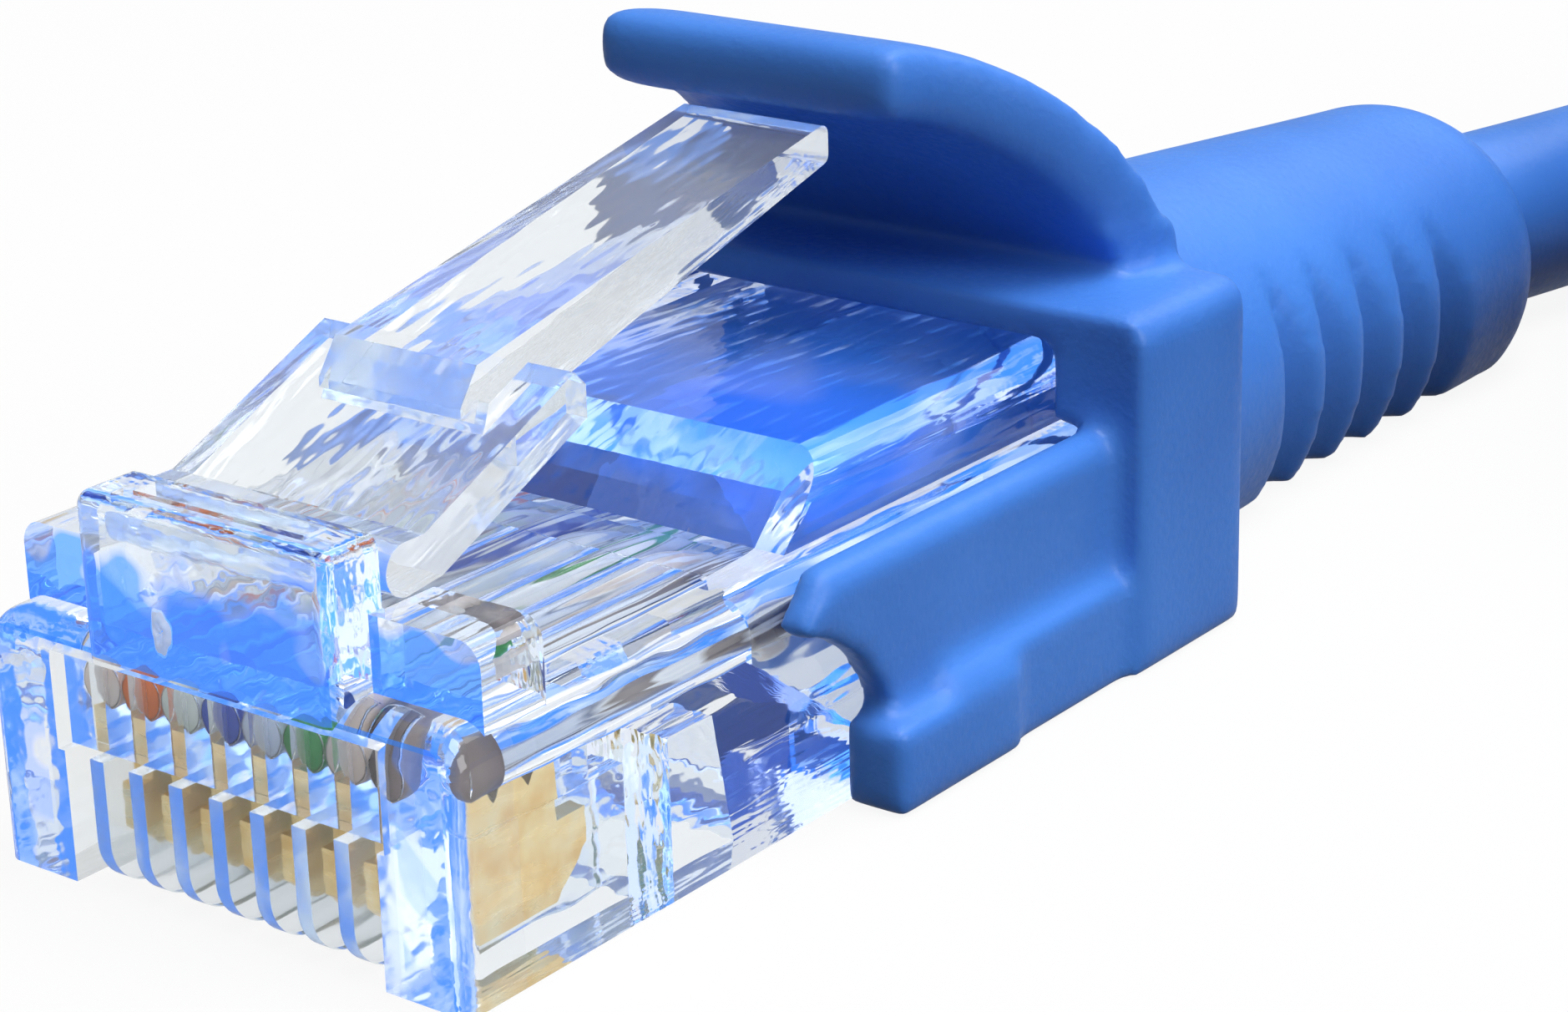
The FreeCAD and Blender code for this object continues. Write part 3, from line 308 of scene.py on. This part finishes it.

# where the painted blue reflection and the comb lie, in the object's own coordinates
BODY_HALF_WIDTH = 6 * MM
NEAR_FRONT = -19.8 * MM
FACES_FRONT = -0.8
RAGGED_EDGE = 2.6 * MM
NOSE_BOTTOM = 4.75 * MM
NOSE_FADE = (6.1 * MM, 6.6 * MM)
PILLAR_INSIDE = 4.4 * MM
PILLAR_SHARE = 0.55
PILLAR_PATCHES = (0.47, 0.55)
DECK_START = (-11.5 * MM, -10.7 * MM)
# the painted blue fades to painted shade under the hood, down to this share
HOOD_SHADE = (-8 * MM, -4.5 * MM)
SHADED_SHARE = 0.1
DECK_BOTTOM = 5.3 * MM
DECK_TOP = 8.2 * MM
DECK_SHARE = 0.6
COMB_HALF_WIDTH = 4.3 * MM
COMB_TOP = 4.6 * MM


def trapped_light(paint):
    """1 where light was reflected inside so often that the renderer drops it, which would leave black."""
    path = paint.tree.nodes.new("ShaderNodeLightPath").outputs
    return paint.math("MAXIMUM", paint.above(path["Glossy Depth"], MOST_REFLECTIONS),
                      paint.above(path["Ray Depth"], MOST_BOUNCES))


def painted_blue_and_comb(paint):
    """Where a painted reflection of the blue boot and cable shows, as glow and tint; and where the comb is.

    The painted blue lies at the front of the nose and lugs, in patches beside the comb, and all over the deck
    from where the wires spread out, fading to painted shade under the hood."""
    x, y, z = paint.xyz(paint.place)
    across = paint.math("ABSOLUTE", x)
    on_body = paint.below(across, BODY_HALF_WIDTH)
    near_front = paint.times(paint.below(y, NEAR_FRONT), on_body)
    forward = paint.times(near_front, paint.below(paint.xyz(paint.normal)[1], FACES_FRONT))
    clouds = paint.noise(900, 0.0)
    shift = paint.times(paint.math("SUBTRACT", clouds, 0.5), RAGGED_EDGE)

    # painted reflection of the blue boot and cable: on the nose front, in patches on the pillars, and on the
    # deck
    nose_height = paint.spread(paint.math("ADD", z, shift), 1.0, 0.0, *NOSE_FADE)
    nose = paint.times(forward, paint.above(z, NOSE_BOTTOM), nose_height)
    pillars = paint.times(forward, paint.above(across, PILLAR_INSIDE),
                          paint.spread(clouds, 0.0, PILLAR_SHARE, *PILLAR_PATCHES))
    deck_length = paint.times(paint.spread(paint.math("ADD", y, shift), 0.0, 1.0, *DECK_START),
                              paint.spread(y, 1.0, SHADED_SHARE, *HOOD_SHADE))
    deck_height = paint.times(paint.above(z, DECK_BOTTOM), paint.below(z, DECK_TOP))
    deck = paint.times(deck_length, deck_height, on_body, DECK_SHARE)
    blue = paint.math("MAXIMUM", paint.math("MAXIMUM", nose, pillars), deck)
    comb = paint.times(near_front, paint.below(across, COMB_HALF_WIDTH), paint.below(z, COMB_TOP))
    return blue, comb


def clear_plastic(name, clearness, has_comb):
    """Moulded polycarbonate: clear, glossy, with faint flow waves and fine rubbing marks, and a painted glow.

    The painted glow stands in for light dropped inside and for the painted blue reflection. clearness is the
    share of it that isn't milky, and a comb is rougher, milkier and, in its painted glow, greyer."""
    paint = Paint(name)
    paint.set(IOR=POLYCARBONATE_IOR, Transmission_Weight=clearness)
    blue, comb = painted_blue_and_comb(paint)
    waves = paint.noise(500, 0.0)
    marks = paint.noise(3200, 0.0, (1.0, 0.25, 1.0))
    roughness = paint.spread(marks, 0.015, 0.06)
    # colour of the painted glow, in clouds from blue to grey
    glow_colour = paint.ramp(paint.noise(420, 0.0), [(0.5, (0.04, 0.2, 0.72)), (0.68, (0.4, 0.52, 0.7))])
    if has_comb:
        glow_colour = paint.mix(comb, glow_colour, COMB_GLOW_GREY)
        roughness = paint.math("ADD", roughness, paint.times(comb, COMB_ROUGHNESS))
        paint.link(paint.math("SUBTRACT", clearness, paint.times(comb, COMB_MILK)), "Transmission Weight")
    # painted light: a glow where light is dropped inside, and the painted blue reflection; light falling on
    # things doesn't see it
    glow = paint.math("MAXIMUM", paint.times(trapped_light(paint), TRAPPED_GLOW),
                      paint.times(blue, PAINTED_BLUE_STRENGTH))
    falls_on_things = paint.tree.nodes.new("ShaderNodeLightPath").outputs["Is Diffuse Ray"]
    paint.link(paint.times(glow, paint.math("SUBTRACT", 1.0, falls_on_things)), "Emission Strength")
    # the painted blue reflection colours the glow and tints the plastic
    paint.link(paint.mix(blue, glow_colour, PAINTED_BLUE_COLOUR), "Emission Color")
    paint.link(paint.mix(blue, CLEAR_TINT, PAINTED_BLUE_TINT), "Base Color")
    paint.link(roughness, "Roughness")
    paint.bump([waves, marks], 0.012 * MM)
    return paint.material


def gold():
    """Gold plate on stamped bronze, with draw lines and rubbed spots."""
    paint = Paint("gold_plate")
    lines = paint.noise(900, 1.0, (1.0, 1.0, 6.0))
    spots = paint.noise(1400, 2.0)
    stops = [(0.3, (0.92, 0.58, 0.2)), (0.55, (1.0, 0.75, 0.36)), (0.8, (1.0, 0.86, 0.54))]
    paint.link(paint.ramp(spots, stops), "Base Color")
    paint.set(Metallic=1.0)
    paint.link(paint.spread(lines, 0.2, 0.42), "Roughness")
    paint.bump([lines], 0.008 * MM)
    return paint.material


def copper():
    """Bare copper, a little dull."""
    paint = Paint("bare_copper")
    grain = paint.noise(1500, 1.0)
    paint.link(paint.ramp(grain, [(0.3, (0.55, 0.24, 0.11)), (0.7, (0.83, 0.45, 0.27))]), "Base Color")
    paint.set(Metallic=1.0)
    paint.link(paint.spread(grain, 0.22, 0.4), "Roughness")
    paint.bump([grain], 0.005 * MM)
    return paint.material


def insulation(name, dark, light, streaked=True):
    """Glossy wire insulation: its colour shows in lengthwise streaks, with pale milky and thin dark slate
    streaks between them.
    """
    paint = Paint(name)
    clouds = paint.noise(700, 1.0)
    colour = paint.ramp(clouds, [(0.3, dark), (0.7, light)])
    if streaked:
        streaks = paint.noise(3600, 1.0, (1.0, 0.04, 0.5))
        milky = paint.ramp(streaks, [(0.40, (0.62, 0.68, 0.82)), (0.43, (0.2, 0.24, 0.36)),
                                     (0.46, (0.85, 0.87, 0.92))])
        streak_share = paint.math("MAXIMUM", paint.spread(streaks, 1.0, 0.0, 0.455, 0.475),
                            paint.spread(streaks, 0.0, 1.0, 0.545, 0.565))
        colour = paint.mix(streak_share, colour, milky)
    paint.link(colour, "Base Color")
    paint.set(IOR=1.5)
    paint.link(paint.spread(clouds, 0.25, 0.4), "Roughness")
    return paint.material


def blue_vinyl(name, dark, light, fine_depth, rough, glow=0.0):
    """Moulded or drawn soft vinyl: satin, with a fine skin and slow clouds of colour.

    glow stands for what lamps would light through clear plastic."""
    paint = Paint(name)
    clouds = paint.noise(160, 2.0)
    skin = paint.noise(5200, 2.0)
    swell = paint.noise(600, 1.0)
    paint.link(paint.ramp(clouds, [(0.3, dark), (0.7, light)]), "Base Color")
    paint.set(IOR=1.5, Specular_IOR_Level=0.3, Subsurface_Weight=0.12, Subsurface_Radius=(0.2, 0.5, 1.0),
              Subsurface_Scale=0.6 * MM, Emission_Color=(0.06, 0.23, 0.75, 1.0), Emission_Strength=glow)
    paint.link(paint.spread(skin, rough[0], rough[1]), "Roughness")
    paint.bump([swell, skin], fine_depth)
    return paint.material


WIRE_COLOURS = [
    ("white_orange", (0.8, 0.62, 0.52), (0.9, 0.84, 0.8)),
    ("orange", (0.72, 0.12, 0.015), (0.86, 0.2, 0.03)),
    ("white_green", (0.62, 0.76, 0.66), (0.84, 0.9, 0.86)),
    ("blue", (0.01, 0.05, 0.4), (0.02, 0.09, 0.55)),
    ("white_blue", (0.5, 0.62, 0.85), (0.75, 0.82, 0.92)),
    ("green", (0.01, 0.22, 0.05), (0.03, 0.35, 0.09)),
    ("white_brown", (0.66, 0.54, 0.48), (0.85, 0.8, 0.78)),
    ("brown", (0.075, 0.055, 0.055), (0.26, 0.22, 0.22)),
]


def paint_node(name, material):
    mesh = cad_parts[name].data
    mesh.materials.clear()
    mesh.materials.append(material)


def cable_vinyl(name, glow=0.0):
    return blue_vinyl(name, (0.055, 0.205, 0.66), (0.07, 0.25, 0.77), 0.01 * MM, (0.32, 0.45), glow)


def boot_vinyl():
    return blue_vinyl("boot_vinyl", (0.05, 0.185, 0.62), (0.064, 0.235, 0.74), 0.012 * MM, (0.34, 0.5))


def paint_nodes():
    """Every rigid node gets its material; the cord and the boots bring their own."""
    clear = clear_plastic("clear_polycarbonate", 1.0, True)
    rubbed = clear_plastic("rubbed_polycarbonate", 0.9, False)
    jacket = cable_vinyl("cable_vinyl_inside", 0.12)
    plate = gold()
    core = copper()
    for name in ("plug_housing", "far_plug_housing"):
        paint_node(name, clear)
    for name in ("latch_tab", "far_latch_tab"):
        paint_node(name, rubbed)
    for name in ("cable_jacket", "far_cable_jacket"):
        paint_node(name, jacket)
    for number, (colour, dark, light) in enumerate(WIRE_COLOURS, 1):
        paint_node("contact_%d" % number, plate)
        paint_node("wire_core_%d" % number, core)
        paint_node("wire_%d" % number, insulation("insulation_" + colour, dark, light))
    paint_node("far_contacts", plate)
    paint_node("far_wire_cores", core)
    paint_node("far_wires", bpy.data.materials["insulation_white_blue"])


# ---------------------------------------------------------------- the cord

# points are in millimetres, as in the CAD model's route
CORD_DIAMETER = 4.8 * MM
CORD_EXIT = Vector((0.7, 22.25, 2.5)) * MM
LEAD = [(2.2, 29.0, 2.4), (3.3, 36.6, 2.4), (5.2, 44.07, 2.4), (8.39, 51.0, 2.4), (11.33, 55.04, 2.4)]
COIL_CENTRE = (34.79, 38.0)
COIL_RADIUS = 29.0
COIL_START = 144.0
POINTS_PER_TURN = 15
LOWER_TURN = 2.4
UPPER_TURN = 7.2
STEP_OUT = 5.2
STEP_OUT_TURNS = (1.78, 2.0)
CLIMB_TURNS = (0.66, 0.96)
TAIL = [(13.6, 65.0, 7.0), (21.2, 69.4, 5.6), (30.05, 72.0, 3.8), (39.87, 72.94, 2.8), (49.77, 71.55, 2.4),
        (58.68, 67.01, 2.4), (65.82, 60.0, 2.4), (70.57, 51.77, 2.4), (73.2, 43.16, 2.4), (73.92, 35.7, 2.7),
        (73.67, 28.7, 3.15), (73.1, 23.23, 3.15)]
TAIL_HEADING = 186.0


def eased(value, low, high):
    """0 at low, 1 at high, and a soft step between them."""
    share = min(max((value - low) / (high - low), 0.0), 1.0)
    return share * share * (3 - 2 * share)


def coil_points():
    """Two turns, clockwise seen from above: the second lies on the first and steps out over the lead."""
    points = []
    for step in range(1, 2 * POINTS_PER_TURN + 1):
        turns = step / POINTS_PER_TURN
        angle = math.radians(COIL_START - 360 * turns)
        radius = COIL_RADIUS + STEP_OUT * eased(turns, *STEP_OUT_TURNS)
        height = LOWER_TURN + (UPPER_TURN - LOWER_TURN) * eased(turns, *CLIMB_TURNS)
        points.append((COIL_CENTRE[0] + radius * math.cos(angle),
                       COIL_CENTRE[1] + radius * math.sin(angle), height))
    return points


def make_cord(sheath):
    """One smooth spline through the route's points, in place of the CAD tube and coil."""
    points = [CORD_EXIT] + [Vector(point) * MM for point in LEAD + coil_points() + TAIL]
    data = bpy.data.curves.new("patch_cord", "CURVE")
    data.dimensions = "3D"
    data.resolution_u = 12
    data.bevel_depth = CORD_DIAMETER / 2
    data.bevel_resolution = 8
    data.use_fill_caps = True
    spline = data.splines.new("NURBS")
    spline.points.add(len(points) - 1)
    for control, point in zip(spline.points, points):
        control.co = (*point, 1.0)
    spline.order_u = 3
    spline.use_endpoint_u = True
    cord = bpy.data.objects.new("patch_cord", data)
    bpy.context.scene.collection.objects.link(cord)
    data.materials.append(sheath)
    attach(cord, PLUG)
    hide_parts("patch_cord_lead", "patch_cord_coil", "patch_cord_tail")
    return cord


# ---------------------------------------------------------------- small marks and the wires' cut ends

# places and sizes are in millimetres
FRONT = -22.25
GATE_MARK = Vector((-1.02, FRONT, 5.62))
GATE_HALF_WIDTH = 0.27
GATE_HALF_HEIGHT = 0.46
GATE_RINGS = 7
GATE_STEPS = 36
GATE_SWELL = 0.075
GATE_BURR = 0.03

CHANNEL_HEIGHT = 3.8
WIRE_PITCH = 1.02
TIP_RADIUS = 0.512
TIP_FRONT = 1.22
TIP_BACK = 2.1
TIP_BEVEL = (0.08, 0.07)
TIP_TUCK = (0.1, 0.02)
TIP_STEPS = 28
MIDDLE_WIRE = 4.5


def steps_round(count):
    """Angles of a full turn in equal steps."""
    return [2 * math.pi * step / count for step in range(count)]


def join_rings(work, rings):
    """Faces between each closed ring of vertices and the next."""
    for inner, outer in zip(rings, rings[1:]):
        for step in range(len(inner)):
            following = (step + 1) % len(inner)
            work.faces.new((inner[step], inner[following], outer[following], outer[step]))


def lay_down(name, work, material, rider):
    """A piece of its own from a finished bmesh, riding on a body."""
    bmesh.ops.recalc_face_normals(work, faces=work.faces)
    mesh = bpy.data.meshes.new(name)
    work.to_mesh(mesh)
    work.free()
    mesh.shade_smooth()
    mesh.materials.append(material)
    piece = bpy.data.objects.new(name, mesh)
    bpy.context.scene.collection.objects.link(piece)
    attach(piece, rider)
    return piece


def frosted_with_painted_glow():
    """Torn and rubbed polycarbonate: whitish and rough, and further whitened by a painted glow."""
    paint = Paint("frosted_polycarbonate_painted_glow")
    grain = paint.noise(2600, 4.0)
    paint.link(paint.ramp(grain, [(0.35, (0.62, 0.76, 0.95)), (0.6, (0.95, 0.98, 1.0))]), "Base Color")
    # the emission is a painted glow that lightens the scar
    paint.set(IOR=POLYCARBONATE_IOR, Transmission_Weight=0.2, Emission_Color=(0.7, 0.84, 1.0, 1.0),
              Emission_Strength=0.3)
    paint.link(paint.spread(grain, 0.35, 0.6), "Roughness")
    paint.bump([grain], 0.03 * MM)
    return paint.material


def gate_point(share, angle):
    """A point of the scar, share of the way out from its middle, with a ragged rim and a small burr."""
    ragged = 1 + 0.09 * math.sin(3 * angle + 1.1) + 0.05 * math.sin(7 * angle + 5 * share)
    out = (0.03 + 0.97 * share) * ragged
    swell = GATE_SWELL * math.sin(math.pi * share) ** 2
    swell += GATE_BURR * math.sin(5 * angle + 9 * share) * (1 - share)
    offset = Vector((GATE_HALF_WIDTH * out * math.cos(angle), 0.01 - max(swell, 0.0),
                     GATE_HALF_HEIGHT * out * math.sin(angle)))
    return (GATE_MARK + offset) * MM


def make_gate_mark():
    """Where the sprue was twisted off the front of the nose: a ring-shaped scar, taller than wide."""
    work = bmesh.new()
    rings = [[work.verts.new(gate_point(ring / GATE_RINGS, angle)) for angle in steps_round(GATE_STEPS)]
             for ring in range(GATE_RINGS + 1)]
    join_rings(work, rings)
    work.faces.new(list(reversed(rings[0])))
    lay_down("gate_mark", work, frosted_with_painted_glow(), PLUG)


def tip_point(channel, out, along, angle):
    """A point round a wire channel: out from its axis, and along it from the plug's front."""
    return (channel + Vector((out * math.cos(angle), along, out * math.sin(angle)))) * MM


def make_wire_tips():
    """The cut end of each wire, pressed against the front of its channel."""
    profile = [(TIP_RADIUS - TIP_BEVEL[0], TIP_FRONT), (TIP_RADIUS, TIP_FRONT + TIP_BEVEL[1]),
               (TIP_RADIUS, TIP_BACK), (TIP_RADIUS - TIP_TUCK[0], TIP_BACK + TIP_TUCK[1])]
    for number, (colour, dark, light) in enumerate(WIRE_COLOURS, 1):
        channel = Vector(((number - MIDDLE_WIRE) * WIRE_PITCH, FRONT, CHANNEL_HEIGHT))
        work = bmesh.new()
        middle = work.verts.new(tip_point(channel, 0.0, TIP_FRONT, 0.0))
        rings = [[work.verts.new(tip_point(channel, out, along, angle)) for angle in steps_round(TIP_STEPS)]
                 for out, along in profile]
        for first, second in zip(rings[0], rings[0][1:] + rings[0][:1]):
            work.faces.new((middle, first, second))
        join_rings(work, rings)
        piece = lay_down("wire_tip_%d" % number, work, insulation("cut_" + colour, dark, light, False), PLUG)


# ---------------------------------------------------------------- the soft boots

BOOT_CAVITY = 2.7 * MM
STOPPER_DEPTH = 3.6 * MM
STOPPER_INSET = 1.9 * MM
TIP_HEIGHT = 2.5 * MM
TIP_TAPER = 0.2
TIP_LENGTH = 3.2 * MM
BENT_LENGTH = 16.0 * MM
HOOD_FROM = 8.7 * MM
SOFTENING = 5
HOOD_SOFTENING = 22
NEAR_GRAIN = 0.19 * MM
FAR_GRAIN = 0.24 * MM


def joined_meshes(*names):
    """The CAD meshes of several nodes in one bmesh."""
    work = bmesh.new()
    for name in names:
        work.from_mesh(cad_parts[name].data)
    return work


def remeshed(work, grain):
    """One closed skin round everything in work."""
    rough = bpy.data.meshes.new("rough")
    work.to_mesh(rough)
    work.free()
    holder = bpy.data.objects.new("rough", rough)
    bpy.context.scene.collection.objects.link(holder)
    skin = holder.modifiers.new("skin", "REMESH")
    skin.mode = "VOXEL"
    skin.voxel_size = grain
    bpy.context.view_layer.update()
    depsgraph = bpy.context.evaluated_depsgraph_get()
    mesh = bpy.data.meshes.new_from_object(holder.evaluated_get(depsgraph))
    bpy.data.objects.remove(holder)
    return mesh


def relax(work, verts, times):
    """Softens edges: each round moves a vertex halfway to the middle of its neighbours."""
    for _ in range(times):
        bmesh.ops.smooth_vert(work, verts=verts, factor=0.5,
                              use_axis_x=True, use_axis_y=True, use_axis_z=True)


def soft_boot(name, boot, hood, grain, tip, outward, bend, vinyl):
    """The boot and its hood as the one soft moulding that they are, with worn-soft edges.

    tip is the end of the strain relief and outward its direction there; bend is how far the cord pulls
    the tip aside."""
    work = joined_meshes(boot, hood)
    turned = outward.to_track_quat("Z", "Y").to_matrix().to_4x4()
    stopper = Matrix.Translation(tip - outward * STOPPER_INSET) @ turned
    bmesh.ops.create_cone(work, cap_ends=True, segments=32, radius1=BOOT_CAVITY, radius2=BOOT_CAVITY,
                          depth=STOPPER_DEPTH, matrix=stopper)
    mesh = remeshed(work, grain)
    work = bmesh.new()
    work.from_mesh(mesh)
    relax(work, work.verts, SOFTENING)
    relax(work, [vert for vert in work.verts if vert.co.z > HOOD_FROM], HOOD_SOFTENING)
    for vert in work.verts:
        back = (tip - vert.co).dot(outward)
        middle = tip - outward * back
        middle.z = tip.z
        if back < TIP_LENGTH:
            taper = 1 - TIP_TAPER * eased(back, TIP_LENGTH, 0.0)
            vert.co = middle + (vert.co - middle) * taper
        vert.co += bend * eased(back, BENT_LENGTH, 0.0)
        vert.co.z = max(vert.co.z, 0.0)
    work.to_mesh(mesh)
    work.free()
    mesh.shade_smooth()
    piece = bpy.data.objects.new(name, mesh)
    bpy.context.scene.collection.objects.link(piece)
    mesh.materials.clear()
    mesh.materials.append(vinyl)
    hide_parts(boot, hood)
    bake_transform(piece)


def make_boots():
    """Both boots; the near one is pulled aside by its cord."""
    vinyl = boot_vinyl()
    near_tip = Vector((0.0, CORD_EXIT.y, TIP_HEIGHT))
    soft_boot("boot", "strain_relief_boot", "boot_hood", NEAR_GRAIN, near_tip, Vector((0.0, 1.0, 0.0)),
              Vector((CORD_EXIT.x, 0.0, 0.0)), vinyl)
    turn = math.radians(TAIL_HEADING)
    soft_boot("second_boot", "far_boot", "far_hood", FAR_GRAIN, Vector(TAIL[-1]) * MM,
              Vector((-math.sin(turn), -math.cos(turn), 0.0)), Vector(), vinyl)


# ---------------------------------------------------------------- making it all

bpy.context.scene.view_settings.view_transform = "Standard"
make_camera()
make_world()
make_lights()
make_floor()
paint_nodes()
cord = make_cord(cable_vinyl("cable_vinyl"))
make_boots()
make_gate_mark()
make_wire_tips()
